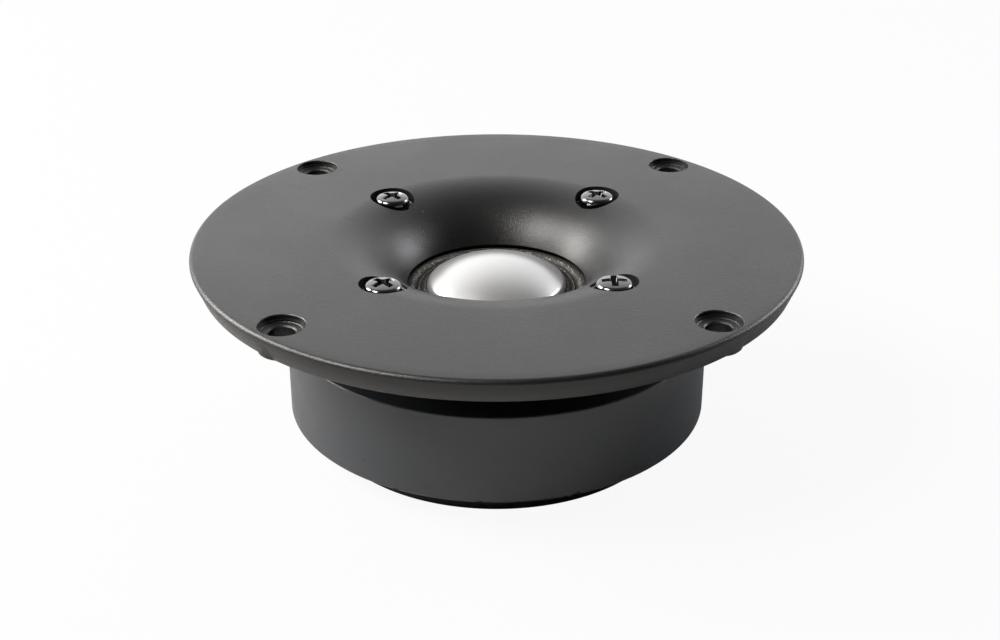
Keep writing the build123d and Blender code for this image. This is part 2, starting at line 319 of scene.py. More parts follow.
def four_round(radius):
    """Places (x, y, turn) of the four screws or holes on a circle."""
    places = []
    for turn in (45.0, 135.0, 225.0, 315.0):
        a = math.radians(turn)
        places.append((radius * math.cos(a), radius * math.sin(a), turn))
    return places


def both_sides(x, y, left_turn=0, right_turn=0):
    """Places (x, y, turn) left and right of the middle."""
    return [(-x, y, left_turn), (x, y, right_turn)]


# ------------------------------------------------------------------ finishes

def group(name, inputs, outputs):
    """An empty shader node group; sockets are (name, kind, default)."""
    tree = bpy.data.node_groups.new(name, "ShaderNodeTree")
    for label, kind, default in inputs:
        made = tree.interface.new_socket(label, in_out="INPUT", socket_type="NodeSocket" + kind)
        if default is not None:
            made.default_value = default
    for label, kind in outputs:
        tree.interface.new_socket(label, in_out="OUTPUT", socket_type="NodeSocket" + kind)
    return tree


def add(tree, kind, **values):
    """Add a node; values are set by input name, with _ for a space."""
    made = tree.nodes.new(kind)
    for key, value in values.items():
        made.inputs[key.replace("_", " ")].default_value = value
    return made


def maths(tree, operation, a, b=None):
    """A Math node; a and b are sockets or numbers."""
    made = tree.nodes.new("ShaderNodeMath")
    made.operation = operation
    for i, value in enumerate((a, b)):
        if value is None:
            continue
        if isinstance(value, (int, float)):
            made.inputs[i].default_value = value
        else:
            tree.links.new(value, made.inputs[i])
    return made.outputs[0]


def remap(tree, value, low, high, new_low, new_high, shape="LINEAR"):
    """Map a range of values to another, clamped."""
    made = add(tree, "ShaderNodeMapRange", From_Min=low, From_Max=high, To_Min=new_low, To_Max=new_high)
    made.interpolation_type = shape
    tree.links.new(value, made.inputs["Value"])
    return made.outputs["Result"]


def split(tree, vector):
    """The X, Y and Z sockets of a vector."""
    made = add(tree, "ShaderNodeSeparateXYZ")
    tree.links.new(vector, made.inputs[0])
    return made.outputs


def from_axis(tree, x, y):
    """Distance from the Z axis."""
    return maths(tree, "SQRT", maths(tree, "ADD", maths(tree, "POWER", x, 2.0), maths(tree, "POWER", y, 2.0)))


def cells(tree, vector, scale):
    """Distance to the nearest of many scattered points, about 1/scale metres apart."""
    made = add(tree, "ShaderNodeTexVoronoi", Scale=scale)
    tree.links.new(vector, made.inputs["Vector"])
    return made.outputs["Distance"]


def noise(tree, vector, scale, detail=2.0, rough=0.5):
    """Noise of about 1/scale metres in size."""
    made = add(tree, "ShaderNodeTexNoise", Scale=scale, Detail=detail, Roughness=rough)
    tree.links.new(vector, made.inputs["Vector"])
    return made.outputs["Fac"]


def blend_colour(tree, factor, first, second):
    """Mix two colours by a value."""
    made = tree.nodes.new("ShaderNodeMix")
    made.data_type = "RGBA"
    tree.links.new(factor, made.inputs["Factor"])
    for socket, value in ((made.inputs[6], first), (made.inputs[7], second)):
        if isinstance(value, (tuple, list)):
            socket.default_value = (*value, 1.0)
        else:
            tree.links.new(value, socket)
    return made.outputs[2]


def make_grain():
    """Fine moulded or cast grain: a height, and a slower mottle."""
    tree = group("moulded_grain", [("Vector", "Vector", None), ("Size", "Float", 3000.0)],
                 [("Height", "Float"), ("Mottle", "Float")])
    ends = add(tree, "NodeGroupInput"), add(tree, "NodeGroupOutput")
    vector = ends[0].outputs["Vector"]
    size = ends[0].outputs["Size"]
    fine = add(tree, "ShaderNodeTexNoise", Detail=3.0, Roughness=0.55)
    coarse = add(tree, "ShaderNodeTexNoise", Detail=1.0, Roughness=0.5)
    for texture, share in ((fine, 1.0), (coarse, 0.4)):
        tree.links.new(vector, texture.inputs["Vector"])
        tree.links.new(maths(tree, "MULTIPLY", size, share), texture.inputs["Scale"])
    height = maths(tree, "ADD", maths(tree, "MULTIPLY", fine.outputs["Fac"], 0.85),
                   maths(tree, "MULTIPLY", coarse.outputs["Fac"], 0.15))
    tree.links.new(height, ends[1].inputs["Height"])
    tree.links.new(noise(tree, vector, 90.0, 4.0, 0.6), ends[1].inputs["Mottle"])
    return tree


def make_handling():
    """Faint wiped smudges and sparse dust specks, as masks."""
    tree = group("handling_marks", [("Vector", "Vector", None)], [("Smudge", "Float"), ("Dust", "Float")])
    ends = add(tree, "NodeGroupInput"), add(tree, "NodeGroupOutput")
    vector = ends[0].outputs["Vector"]
    cloud = noise(tree, vector, 55.0, 5.0, 0.62)
    tree.links.new(remap(tree, cloud, 0.45, 0.72, 0.0, 1.0), ends[1].inputs["Smudge"])
    near = remap(tree, cells(tree, vector, 420.0), 0.03, 0.09, 1.0, 0.0)
    rare = remap(tree, noise(tree, vector, 700.0, 1.0, 0.5), 0.60, 0.66, 0.0, 1.0)
    tree.links.new(maths(tree, "MULTIPLY", near, rare), ends[1].inputs["Dust"])
    return tree


def make_weave():
    """Plain weave along X and Y: a height and a thread mask."""
    tree = group("plain_weave", [("Vector", "Vector", None), ("Pitch", "Float", 4000.0)],
                 [("Height", "Float"), ("Thread", "Float")])
    ends = add(tree, "NodeGroupInput"), add(tree, "NodeGroupOutput")
    x, y, _ = split(tree, ends[0].outputs["Vector"])
    turns = maths(tree, "MULTIPLY", ends[0].outputs["Pitch"], FULL_TURN)
    warp = maths(tree, "SINE", maths(tree, "MULTIPLY", x, turns))
    weft = maths(tree, "SINE", maths(tree, "MULTIPLY", y, turns))
    crossings = maths(tree, "MULTIPLY", warp, weft)
    tree.links.new(remap(tree, crossings, -1.0, 1.0, 0.0, 1.0), ends[1].inputs["Height"])
    tree.links.new(remap(tree, crossings, 0.3, 0.9, 0.0, 1.0), ends[1].inputs["Thread"])
    return tree


def make_turning():
    """Concentric tool marks round the Z axis."""
    tree = group("turning_marks", [("Vector", "Vector", None), ("Pitch", "Float", 5000.0)],
                 [("Height", "Float")])
    ends = add(tree, "NodeGroupInput"), add(tree, "NodeGroupOutput")
    x, y, z = split(tree, ends[0].outputs["Vector"])
    line = add(tree, "ShaderNodeCombineXYZ")
    tree.links.new(from_axis(tree, x, y), line.inputs["X"])
    tree.links.new(z, line.inputs["Z"])
    lines = add(tree, "ShaderNodeTexNoise", Detail=2.0, Roughness=0.6)
    tree.links.new(line.outputs[0], lines.inputs["Vector"])
    tree.links.new(ends[0].outputs["Pitch"], lines.inputs["Scale"])
    tree.links.new(lines.outputs["Fac"], ends[1].inputs["Height"])
    return tree


GRAIN = make_grain()
HANDLING = make_handling()
WEAVE = make_weave()
TURNING = make_turning()


class Finish:
    """A material with its Principled shader, object coordinates and output."""

    def __init__(self, name, **values):
        self.material = bpy.data.materials.new(name)
        self.material.use_nodes = True
        self.tree = self.material.node_tree
        self.tree.nodes.clear()
        self.shader = add(self.tree, "ShaderNodeBsdfPrincipled", **values)
        self.output = add(self.tree, "ShaderNodeOutputMaterial")
        self.link(self.shader.outputs[0], self.output.inputs["Surface"])
        self.where = add(self.tree, "ShaderNodeTexCoord").outputs["Object"]

    def link(self, source, target):
        self.tree.links.new(source, target)

    def feed(self, source, socket):
        """Drive a socket of the shader."""
        self.link(source, self.shader.inputs[socket])

    def shared(self, which, **values):
        """Place a shared group, with its own values, and return its outputs."""
        made = self.tree.nodes.new("ShaderNodeGroup")
        made.node_tree = which
        for key, value in values.items():
            made.inputs[key].default_value = value
        self.link(self.where, made.inputs["Vector"])
        return made.outputs

    def bump(self, height, distance):
        """Bump of a height, its depth in millimetres."""
        made = add(self.tree, "ShaderNodeBump", Strength=1.0, Distance=distance * MM)
        self.link(height, made.inputs["Height"])
        self.feed(made.outputs["Normal"], "Normal")


def grained_plastic(name, dark, light, rough, size, depth):
    """Matte moulded plastic with fine grain and faint handling marks."""
    f = Finish(name, Specular_IOR_Level=0.5)
    grain = f.shared(GRAIN, Size=size)
    marks = f.shared(HANDLING)
    base = blend_colour(f.tree, grain["Mottle"], dark, light)
    dusty = maths(f.tree, "MULTIPLY", marks["Dust"], 0.25)
    f.feed(blend_colour(f.tree, dusty, base, (0.30, 0.30, 0.30)), "Base Color")
    shine = maths(f.tree, "MULTIPLY", marks["Smudge"], 0.05)
    pores = remap(f.tree, grain["Height"], 0.3, 0.7, rough + 0.04, rough - 0.04)
    f.feed(maths(f.tree, "SUBTRACT", pores, shine), "Roughness")
    f.bump(grain["Height"], depth)
    return f.material


def turned_metal(name, dark, light, rough):
    """Machined metal with concentric marks."""
    f = Finish(name, Metallic=1.0)
    marks = f.shared(TURNING, Pitch=6000.0)
    handling = f.shared(HANDLING)
    f.feed(blend_colour(f.tree, marks["Height"], dark, light), "Base Color")
    wear_and_painted_light = maths(f.tree, "MULTIPLY", handling["Smudge"], 0.12)
    f.feed(maths(f.tree, "ADD", wear_and_painted_light, rough), "Roughness")
    f.bump(marks["Height"], 0.004)
    return f.material


def satin_dome():
    """Anodised sheet-metal dome, satin, with a very fine blasted grain."""
    f = Finish("satin_silver_dome", Metallic=0.84)
    grain = f.shared(GRAIN, Size=7000.0)
    marks = f.shared(HANDLING)
    f.feed(blend_colour(f.tree, grain["Mottle"], (0.60, 0.602, 0.605), (0.66, 0.66, 0.66)), "Base Color")
    f.feed(remap(f.tree, marks["Smudge"], 0.0, 1.0, 0.30, 0.35), "Roughness")
    f.bump(grain["Height"], 0.006)
    return f.material


# radius, half width and strength of the rings of painted light on the cloth: painted highlight on the ridge
# and crest, lighter painted shading on the slope and foot
PAINTED_LIGHT_RINGS = ((13.47, 0.18, 0.9), (14.50, 0.50, 1.0), (15.2, 0.8, 0.30), (12.5, 0.3, 0.35))


def coated_cloth():
    """Doped cloth of the surround: dark threads with bright nubs, lightened on rings of painted highlight at
    the ridge and crest and of painted light on the slope and foot.
    """
    f = Finish("doped_surround_cloth", Specular_IOR_Level=0.16)
    weave = f.shared(WEAVE, Pitch=3300.0)
    grain = f.shared(GRAIN, Size=4200.0)
    knots = remap(f.tree, cells(f.tree, f.where, 3600.0), 0.15, 0.55, 1.0, 0.0)
    rare = remap(f.tree, noise(f.tree, f.where, 3000.0, 2.0, 0.6), 0.46, 0.62, 0.0, 1.0)
    x, y, _ = split(f.tree, f.where)
    reach = from_axis(f.tree, x, y)
    wear_and_painted_light = None
    for middle, spread, level in PAINTED_LIGHT_RINGS:
        off = maths(f.tree, "ABSOLUTE", maths(f.tree, "SUBTRACT", reach, middle * MM))
        band = remap(f.tree, off, spread * 0.3 * MM, spread * MM, level, 0.0)
        wear_and_painted_light = band if wear_and_painted_light is None else maths(f.tree, "MAXIMUM", wear_and_painted_light, band)
    # share of light colour: the rings of painted highlight and painted light, with a low floor elsewhere
    share = remap(f.tree, wear_and_painted_light, 0.0, 1.0, 0.06, 1.0)
    bright = maths(f.tree, "MULTIPLY", maths(f.tree, "MULTIPLY", knots, rare), share)
    # threads turn light where the rings of painted highlight and painted light lie
    ground = blend_colour(f.tree, maths(f.tree, "MULTIPLY", weave["Thread"], share),
                          (0.014, 0.014, 0.013), (0.36, 0.345, 0.315))
    f.feed(blend_colour(f.tree, bright, ground, (0.85, 0.82, 0.76)), "Base Color")
    f.feed(remap(f.tree, grain["Height"], 0.3, 0.7, 0.60, 0.32), "Roughness")
    threads = maths(f.tree, "ADD", maths(f.tree, "MULTIPLY", weave["Height"], 0.4), grain["Height"])
    f.bump(maths(f.tree, "ADD", threads, knots), 0.13)
    return f.material


def sintered_ferrite():
    """Ground ferrite: dark bluish grey, softly mottled, with pinholes."""
    f = Finish("sintered_ferrite", Specular_IOR_Level=0.8)
    grain = f.shared(GRAIN, Size=2400.0)
    marks = f.shared(HANDLING)
    base = blend_colour(f.tree, grain["Mottle"], (0.017, 0.020, 0.025), (0.030, 0.034, 0.040))
    few = remap(f.tree, noise(f.tree, f.where, 240.0), 0.58, 0.66, 0.0, 1.0)
    pits = remap(f.tree, cells(f.tree, f.where, 260.0), 0.04, 0.10, 1.0, 0.0)
    hole = maths(f.tree, "MULTIPLY", pits, few)
    f.feed(blend_colour(f.tree, hole, base, (0.012, 0.012, 0.014)), "Base Color")
    f.feed(remap(f.tree, marks["Smudge"], 0.0, 1.0, 0.44, 0.56), "Roughness")
    rough = maths(f.tree, "SUBTRACT", grain["Height"], maths(f.tree, "MULTIPLY", hole, 2.0))
    f.bump(rough, 0.02)
    return f.material


def plated(name, dark, light, rough):
    """Plated metal with slight unevenness."""
    f = Finish(name, Metallic=1.0)
    grain = f.shared(GRAIN, Size=3000.0)
    marks = f.shared(HANDLING)
    f.feed(blend_colour(f.tree, grain["Mottle"], dark, light), "Base Color")
    f.feed(remap(f.tree, marks["Smudge"], 0.0, 1.0, rough, rough + 0.10), "Roughness")
    f.bump(grain["Height"], 0.003)
    return f.material


def black_paint():
    """Thin semi-matte black finish on steel plates."""
    f = Finish("blackened_plate", Specular_IOR_Level=0.5)
    grain = f.shared(GRAIN, Size=1800.0)
    marks = f.shared(HANDLING)
    base = blend_colour(f.tree, grain["Mottle"], (0.008, 0.008, 0.009), (0.016, 0.016, 0.018))
    f.feed(blend_colour(f.tree, maths(f.tree, "MULTIPLY", marks["Dust"], 0.2), base, (0.2, 0.2, 0.2)),
           "Base Color")
    f.feed(remap(f.tree, marks["Smudge"], 0.0, 1.0, 0.38, 0.50), "Roughness")
    f.bump(grain["Height"], 0.012)
    return f.material


def felt():
    """Pressed wool felt."""
    f = Finish("pressed_felt", Roughness=0.95, Sheen_Weight=0.4, Sheen_Roughness=0.5)
    fibres = noise(f.tree, f.where, 1500.0, 6.0, 0.75)
    f.feed(blend_colour(f.tree, fibres, (0.16, 0.155, 0.145), (0.42, 0.41, 0.39)), "Base Color")
    f.bump(fibres, 0.25)
    return f.material


def laminate():
    """Brown paper laminate with fine fibres along X."""
    f = Finish("paper_laminate", Specular_IOR_Level=0.5)
    stretch = add(f.tree, "ShaderNodeMapping")
    stretch.inputs["Scale"].default_value = (300.0, 2600.0, 2600.0)
    f.link(f.where, stretch.inputs["Vector"])
    fibres = noise(f.tree, stretch.outputs[0], 1.0, 4.0, 0.6)
    marks = f.shared(HANDLING)
    f.feed(blend_colour(f.tree, fibres, (0.16, 0.065, 0.022), (0.30, 0.145, 0.055)), "Base Color")
    f.feed(remap(f.tree, marks["Smudge"], 0.0, 1.0, 0.38, 0.52), "Roughness")
    f.bump(fibres, 0.02)
    return f.material


def wound_wire():
    """Enamelled wire: fine turns stacked along Z, with painted shade between the turns and painted highlight
    on their crowns.
    """
    f = Finish("enamelled_wire", Metallic=0.85, Coat_Weight=0.4, Coat_Roughness=0.2)
    _, _, z = split(f.tree, f.where)
    turns = maths(f.tree, "SINE", maths(f.tree, "MULTIPLY", z, FULL_TURN / (0.15 * MM)))
    shade = remap(f.tree, turns, -1.0, 1.0, 0.0, 1.0)
    marks = f.shared(HANDLING)
    # dark to light copper along each turn: painted shade in the crevices, painted highlight on the crowns
    f.feed(blend_colour(f.tree, shade, (0.28, 0.09, 0.03), (0.72, 0.31, 0.12)), "Base Color")
    f.feed(remap(f.tree, marks["Smudge"], 0.0, 1.0, 0.26, 0.40), "Roughness")
    f.bump(shade, 0.05)
    return f.material


def braided_sleeve():
    """Varnished cotton sleeve."""
    f = Finish("braided_sleeve", Sheen_Weight=0.2)
    weave = f.shared(WEAVE, Pitch=2600.0)
    f.feed(blend_colour(f.tree, weave["Thread"], (0.42, 0.36, 0.24), (0.68, 0.62, 0.46)), "Base Color")
    f.feed(remap(f.tree, weave["Height"], 0.0, 1.0, 0.45, 0.7), "Roughness")
    f.bump(weave["Height"], 0.05)
    return f.material


FINISHES = {
    "faceplate_plastic": grained_plastic("charcoal_faceplate", (0.005, 0.0051, 0.0053),
                                         (0.008, 0.0081, 0.0084), 0.38, 3900.0, 0.07),
    "screw_steel": plated("black_nickel", (0.13, 0.13, 0.135), (0.22, 0.22, 0.225), 0.12),
    "dome_metal": satin_dome(),
    "surround_cloth": coated_cloth(),
    "carrier_plastic": grained_plastic("black_carrier", (0.010, 0.010, 0.010), (0.018, 0.018, 0.018),
                                       0.55, 2600.0, 0.015),
    "former_foil": turned_metal("rolled_foil", (0.60, 0.60, 0.60), (0.78, 0.78, 0.78), 0.24),
    "winding_wire": wound_wire(),
    "pad_felt": felt(),
    "bare_steel": turned_metal("turned_steel", (0.34, 0.34, 0.345), (0.50, 0.50, 0.505), 0.28),
    "blackened_steel": black_paint(),
    "ferrite": sintered_ferrite(),
    "sleeve_cloth": braided_sleeve(),
    "board_laminate": laminate(),
    "terminal_brass": plated("tinned_brass", (0.62, 0.60, 0.55), (0.76, 0.74, 0.69), 0.26),
    "zinc_steel": plated("bright_zinc", (0.55, 0.56, 0.58), (0.70, 0.71, 0.73), 0.28),
    "solder": plated("tin_solder", (0.58, 0.58, 0.58), (0.74, 0.74, 0.74), 0.22),
}
SLOT_OF = {row["node"]: row["material_slot"] for row in frame["record"]["subparts"]}
BODY_OF = {node: body for body, nodes in frame["record"]["behaviour"]["bodies"].items() for node in nodes}


def finish_piece(piece, node, bend=None):
    """Give a new piece the finish and the body of its CAD node, or let it bend from the frame to the coil."""
    slot = SLOT_OF[node]
    piece.data.materials.clear()
    piece.data.materials.append(FINISHES[slot])
    if bend is None:
        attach(piece, BODY_OF[node])
    else:
        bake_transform(piece, "frame", "diaphragm", *bend)
    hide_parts(node)
    return piece


# ------------------------------------------------------------------ pieces

def build_faceplate():
    """Flange, waveguide and collar as one turned body, with bosses, ribs, seats and pockets."""
    mouth_r = THROAT_R + math.sqrt(HORN_ROUND ** 2 - (HORN_ROUND - TOP_Z + THROAT_Z) ** 2)
    wall_r = RIM_FOOT_R - RIM_WALL
    bed_r = CARRIER_R + 0.1
    sweep = math.degrees(math.acos(1 - (TOP_Z - THROAT_Z) / HORN_ROUND))
    horn = arc(mouth_r, TOP_Z - HORN_ROUND, HORN_ROUND, 90, 90 + sweep, 40)
    edge = arc(FLANGE_R - RIM_ROUND, TOP_Z - RIM_ROUND, RIM_ROUND, 0, 90, 8)
    under = LIP_Z - 0.95
    outline = horn + [
        (THROAT_R + 0.03, THROAT_Z - 0.12), (THROAT_R + 0.15, LIP_Z), (RELIEF_R, LIP_Z), (RELIEF_R, under),
        (bed_r, under), (bed_r, COLLAR_Z), (COLLAR_R - 0.4, COLLAR_Z), (COLLAR_R, COLLAR_Z + 0.4),
        (COLLAR_R, WEB_Z - 0.6), (COLLAR_R + 0.2, WEB_Z - 0.15), (COLLAR_R + 0.6, WEB_Z),
        (wall_r - 0.3, WEB_Z), (wall_r, WEB_Z - 0.3), (wall_r, RIM_FOOT_Z + 0.15),
        (wall_r + 0.15, RIM_FOOT_Z), (RIM_FOOT_R - 0.2, RIM_FOOT_Z), (RIM_FOOT_R, RIM_FOOT_Z + 0.2)]
    flat = [(FLANGE_R - RIM_ROUND - 2.0, TOP_Z), (44.0, TOP_Z), (38.0, TOP_Z), (33.0, TOP_Z)]
    plate = ring("faceplate_shell", outline + edge + flat, 256)

    root = WEB_Z + 0.4
    inner = PILOT_R + 0.05
    boss = ring("boss", [(inner, 0), (BOSS_R - 0.25, 0), (BOSS_R, 0.25), (BOSS_R, root), (inner, root)], 48)
    extras = [copies(boss, four_round(MOUNT_R))]
    post = ring("post", [(PILOT_R, BOARD_Z1), (POST_R - 0.2, BOARD_Z1), (POST_R, BOARD_Z1 + 0.2),
                         (POST_R, root), (PILOT_R, root)], 32)
    extras.append(copies(post, both_sides(POST_X, POST_Y)))
    rib = brick("rib", COLLAR_R - 1, RIM_FOOT_R - 1, -RIB_WIDTH / 2, RIB_WIDTH / 2, RIB_FOOT_Z, root)
    extras.append(copies(rib, [(0, 0, 360 / RIB_COUNT * (i + 0.5)) for i in range(RIB_COUNT)]))
    combine(plate, joined("extras", extras), "UNION")

    ledge = TOP_Z - SEAT_DEPTH
    step = TOP_Z - SEAT_STEP_DEPTH
    seat = lathe("seat", [(0, TOP_Z + 1), (SEAT_R + 1.12, TOP_Z + 1), (SEAT_R, TOP_Z - 0.12), (SEAT_R, ledge),
                          (SEAT_STEP_R + 0.05, ledge - 0.03), (SEAT_STEP_R, step + 0.12),
                          (SEAT_STEP_R - 0.15, step), (MOUNT_HOLE_R + 0.25, step - 0.05),
                          (MOUNT_HOLE_R, step - 0.25), (MOUNT_HOLE_R, -1), (0, -1)], 64)
    pocket = lathe("pocket", [(0, TOP_Z + 1), (POCKET_R, TOP_Z + 1), (POCKET_R, POCKET_FLOOR_Z + 0.15),
                              (POCKET_R - 0.15, POCKET_FLOOR_Z), (SCREW_CLEAR_R, POCKET_FLOOR_Z),
                              (SCREW_CLEAR_R, COLLAR_Z - 1), (0, COLLAR_Z - 1)], 72)
    channel = brick("channel", -NOTCH_HALF, NOTCH_HALF, CARRIER_R - 1, COLLAR_R + 1,
                    COLLAR_Z - 1, under - 0.1)
    combine(plate, copies(seat, four_round(MOUNT_R)), "DIFFERENCE")
    combine(plate, copies(pocket, four_round(SCREW_RING_R)), "DIFFERENCE")
    combine(plate, copies(channel, both_sides(LEAD_X, 0)), "DIFFERENCE")
    smooth(plate, 32)
    finish_piece(plate, "faceplate")


def build_dome():
    """Thin crown with its rounded shoulder and the flange that the cloth is glued to."""
    foot_z = DOME_Z1 - DOME_RISE
    middle = DOME_R - DOME_SHOULDER_R
    crown = (middle ** 2 + DOME_RISE ** 2 - DOME_SHOULDER_R ** 2) / (2 * (DOME_RISE - DOME_SHOULDER_R))
    centre_z = DOME_Z1 - crown
    start = math.degrees(math.atan2(foot_z - centre_z, middle))
    thick = 0.12
    flange_z = foot_z - 0.04
    lowest = DOME_Z0 + 0.02
    outline = arc(0, centre_z, crown, 90, start, 30)[:-1] + arc(middle, foot_z, DOME_SHOULDER_R, start, 0, 10)
    outline += [(DOME_R + 0.05, flange_z), (DOME_FLANGE_R - 0.1, flange_z), (DOME_FLANGE_R, flange_z - 0.04),
                (DOME_FLANGE_R, lowest), (DOME_R - thick, lowest)]
    outline += arc(middle, foot_z, DOME_SHOULDER_R - thick, 0, start, 8)[:-1]
    outline += arc(0, centre_z, crown - thick, start, 90, 24)
    outline[0] = (0, outline[0][1])
    outline[-1] = (0, outline[-1][1])
    dome = lathe("dome_cap", outline, 160)
    smooth(dome, 40)
    finish_piece(dome, "dome_diaphragm")


def build_surround():
    """Doped cloth: inner flat with a stepped ridge, half roll and clamped rim."""
    cloth = 0.22
    flat_z = RIM_Z0 + 0.25
    half = (ROLL_R1 - ROLL_R0) / 2
    rise = ROLL_Z1 - flat_z
    radius = (half ** 2 + rise ** 2) / (2 * rise)
    lean = math.degrees(math.asin(half / radius))
    centre = ((ROLL_R0 + ROLL_R1) / 2, ROLL_Z1 - radius)
    held_r = 12.8
    # radius, and height above the flat of the cloth, from the dome's edge out to the roll
    inner = [(12.15, 0.35), (12.30, 0.39), (12.55, 0.35), (12.75, 0.23), (12.95, 0.09), (13.20, 0.05),
             (13.30, 0.10), (13.40, 0.21), (13.52, 0.20), (13.64, 0.03), (13.78, -0.10), (13.92, -0.08)]
    upper = [(r, flat_z + up) for r, up in inner]
    upper += arc(*centre, radius, 90 + lean, 90 - lean, 14)
    upper += [(16.45, flat_z - 0.01), (18.0, flat_z), (RIM_R, flat_z)]
    lower = [(RIM_R, flat_z - cloth), (16.2, flat_z - cloth)]
    lower += arc(centre[0], centre[1] - cloth, radius, 90 - lean, 90 + lean, 10)
    lower += [(r, flat_z + up) for r, up in ((13.6, -0.20), (13.0, -0.15), (12.86, -0.05), (held_r, 0.15),
                                             (12.55, 0.23), (12.20, 0.27))]
    roll = ring("surround_cloth", upper + lower, 160)
    smooth(roll, 50)
    finish_piece(roll, "surround", ((RIM_R * MM, 0, 0), (held_r * MM, 0, 0)))
    weights = roll.data.attributes["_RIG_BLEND"]
    for vertex in roll.data.vertices:
        reach = math.hypot(vertex.co.x, vertex.co.y) / MM
        share = min(1.0, max(0.0, (ROLL_R1 - reach) / (ROLL_R1 - 13.0)))
        weights.data[vertex.index].value = share * share * (3 - 2 * share)


# bearing in degrees and size of each small chip at the magnet's lower edge and upper edge
LOW_CHIPS = ((-96, 1.1), (-86, 0.8), (-71, 1.4), (-52, 0.9), (-118, 1.0), (-35, 0.8), (-150, 0.9), (10, 0.8),
             (62, 1.0), (118, 0.7), (165, 0.9))
HIGH_CHIPS = ((-78, 0.5), (-104, 0.4), (-60, 0.6), (30, 0.6))


def build_magnet():
    """Ferrite ring with ground faces and broken edges."""
    low_edge = 0.5
    top_edge = 0.2
    bore, r, low, high = MAGNET_BORE_R, MAGNET_R, MAGNET_Z0, MAGNET_Z1
    side = [(r, high - top_edge - (high - low - top_edge - low_edge) * i / 6) for i in range(7)]
    inside = [(bore + low_edge, low), (bore, low + low_edge), (bore, high - top_edge),
              (bore + top_edge, high)]
    magnet = ring("ferrite_ring", [(r - top_edge, high)] + side + [(r - low_edge, low)] + inside, 256)
    soften(magnet, 0.08)
    chips = []
    for turn, size, level in [(*chip, low) for chip in LOW_CHIPS] + [(*chip, high) for chip in HIGH_CHIPS]:
        a = math.radians(turn)
        nothing_selected()
        bpy.ops.mesh.primitive_ico_sphere_add(subdivisions=2, radius=size * MM)
        chip = named("chip")
        bpy.ops.transform.resize(value=(0.45, 1.0, 0.4))
        chip.rotation_euler = (0.5 * size, 0.3, a + 0.4 * size)
        inset = 0.15 if level == low else 0.0
        reach = (r - inset) * MM
        chip.location = (reach * math.cos(a), reach * math.sin(a), (level + inset) * MM)
        chips.append(settle(chip))
    combine(magnet, joined("chips", chips), "DIFFERENCE")
    smooth(magnet, 35)
    finish_piece(magnet, "magnet_ring")


def build_plates():
    """Steel plates below and above the magnet."""
    edge = 0.6
    back = ring("back_disc", [(SPIGOT_R, BACK_Z1), (BACK_R, BACK_Z1), (BACK_R, BACK_Z0 + edge),
                              (BACK_R - edge, BACK_Z0), (SPIGOT_R, BACK_Z0)], 224)
    soften(back, 0.15)
    smooth(back, 35)
    finish_piece(back, "back_plate")
    top = ring("top_washer", [(GAP_R, PLATE_Z1), (PLATE_R, PLATE_Z1), (PLATE_R, PLATE_Z0),
                              (GAP_R, PLATE_Z0)], 224)
    tapped = drill("tapped", SCREW_R + 0.03, PLATE_Z0, PLATE_Z1)
    combine(top, copies(tapped, four_round(SCREW_RING_R)), "DIFFERENCE")
    soften(top, 0.12)
    smooth(top, 35)
    finish_piece(top, "top_plate")


def build_pole():
    """Centre pole with a turned end and its spigot."""
    edge = 0.4
    face = BACK_Z0 + 0.02
    groove = [(SPIGOT_R - 0.25, face), (SPIGOT_R - 0.45, face + 0.12), (SPIGOT_R - 0.65, face)]
    centre_mark = [(7.0, face), (3.0, face + 0.01), (1.2, face + 0.01), (0, face + 0.68)]
    outline = [(0, PLATE_Z1), (POLE_R - edge, PLATE_Z1), (POLE_R - edge * 0.3, PLATE_Z1 - edge * 0.3),
               (POLE_R, PLATE_Z1 - edge), (POLE_R, BACK_Z1), (SPIGOT_R, BACK_Z1), (SPIGOT_R, BACK_Z0 + 0.12),
               (SPIGOT_R - 0.12, BACK_Z0)] + groove + centre_mark
    pole = lathe("turned_pole", outline, 128)
    smooth(pole, 30)
    finish_piece(pole, "pole_piece")


def build_pad():
    """Felt disc with a soft, slightly uneven edge and top."""
    low = PLATE_Z1
    high = PAD_Z1
    edge = [(PAD_R - 0.4, low), (PAD_R - 0.1, low + 0.12), (PAD_R, low + 0.45), (PAD_R, high - 0.5),
            (PAD_R - 0.15, high - 0.16), (PAD_R - 0.5, high - 0.02)]
    face = [(8.0, high), (5.5, high - 0.02), (3.0, high), (0, high - 0.03)]
    pad = lathe("felt_pad", [(0, low)] + edge + face, 96)
    step = pad.modifiers.new("tufts", "DISPLACE")
    tufts = bpy.data.textures.new("tufts", "CLOUDS")
    tufts.noise_scale = 0.9 * MM
    step.texture = tufts
    step.texture_coords = "LOCAL"
    step.strength = 0.07 * MM
    step.mid_level = 0.95
    apply_steps(pad)
    smooth(pad, 60)
    finish_piece(pad, "pole_damping_pad")


def build_carrier():
    """Moulded ring with rounded edges and two lead notches."""
    low = PLATE_Z1
    high = CARRIER_Z1
    edge = 0.15
    carrier = ring("moulded_carrier", [(CARRIER_BORE_R, low), (CARRIER_R - 0.3, low), (CARRIER_R, low + 0.3),
                                       (CARRIER_R, high - edge), (CARRIER_R - edge, high),
                                       (CARRIER_BORE_R + edge, high), (CARRIER_BORE_R, high - edge)], 160)
    notch = brick("notch", -NOTCH_HALF, NOTCH_HALF, 10, CARRIER_R + 1, LEAD_Z - 0.6, high + 1)
    combine(carrier, copies(notch, both_sides(LEAD_X, 0)), "DIFFERENCE")
    soften(carrier, 0.06, 1, 40)
    smooth(carrier, 30)
    finish_piece(carrier, "surround_carrier")


